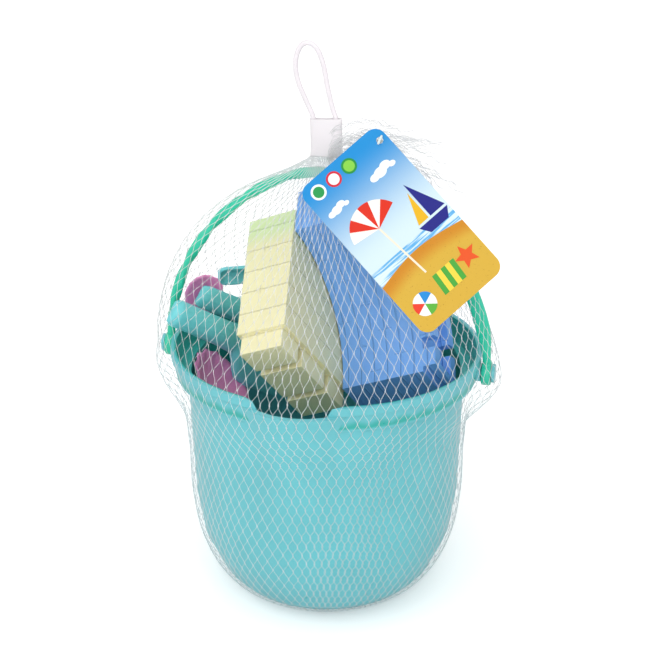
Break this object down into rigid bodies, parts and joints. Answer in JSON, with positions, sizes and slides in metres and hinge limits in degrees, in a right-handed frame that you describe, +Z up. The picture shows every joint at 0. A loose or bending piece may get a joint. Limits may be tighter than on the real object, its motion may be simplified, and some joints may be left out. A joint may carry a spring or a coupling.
{
  "type": "sand bucket",
  "caption": "Sand bucket with pour spout and swinging handle, filled with sand moulds and hand tools, held in a tight net bag with a closure, hanging loop and card",
  "frame": {"origin": "middle of the flat net base that the bucket stands on, at floor level", "axes": "+Z up along the bucket's axis; -Y towards the pour spout; X runs through the two handle studs"},
  "size_m": [0.2158, 0.1891, 0.3475],
  "materials": {
    "bucket_plastic": "smooth injection-moulded polypropylene",
    "bail_plastic": "twisted moulded rib, soft gloss",
    "yellow_plastic": "satin moulded brick relief",
    "blue_plastic": "satin moulded brick relief",
    "green_plastic": "satin moulded",
    "pink_plastic": "smooth moulded",
    "tool_plastic": "smooth moulded",
    "net": "extruded polyethylene diamond net",
    "white_plastic": "plain moulded polyethylene",
    "card": "coated printed card"
  },
  "bodies": {
    "bucket": {"bucket": "bucket_plastic", "wall_mould": "yellow_plastic", "curved_wall_mould": "blue_plastic", "tower_mould": "green_plastic", "shell_mould": "pink_plastic", "dish_mould": "pink_plastic", "spade": "tool_plastic", "rake": "tool_plastic", "scoop": "tool_plastic", "net_bag": "net", "net_base": "net", "base_weld": "net"},
    "bail": {"bail": "bail_plastic", "net_neck": "net"},
    "closure": {"clip_sleeve": "white_plastic", "hang_loop": "white_plastic", "net_tail": "net"},
    "pin": {"tag_pin": "white_plastic"},
    "tag": {"hang_tag": "card"}
  },
  "joints": [
    {"name": "bail_swing", "type": "hinge", "parent": "bucket", "child": "bail", "pos_m": [0, 0, 0.1505], "axis": [1, 0, 0], "range_deg": [-4, 12], "deforming": ["net_bag"]},
    {"name": "closure_tilt", "type": "hinge", "parent": "bail", "child": "closure", "pos_m": [0.0014, 0, 0.2776], "axis": [1, 0, 0], "range_deg": [-25, 25]},
    {"name": "tag_lift", "type": "hinge", "parent": "closure", "child": "pin", "pos_m": [0.0315, 0.0046, 0.2881], "axis": [-0.9736, -0.2284, 0], "range_deg": [0, 60]},
    {"name": "tag_swing", "type": "hinge", "parent": "pin", "child": "tag", "pos_m": [0.033, -0.0021, 0.2921], "axis": [0.1984, -0.8457, 0.4955], "range_deg": [-8, 20]}
  ]
}
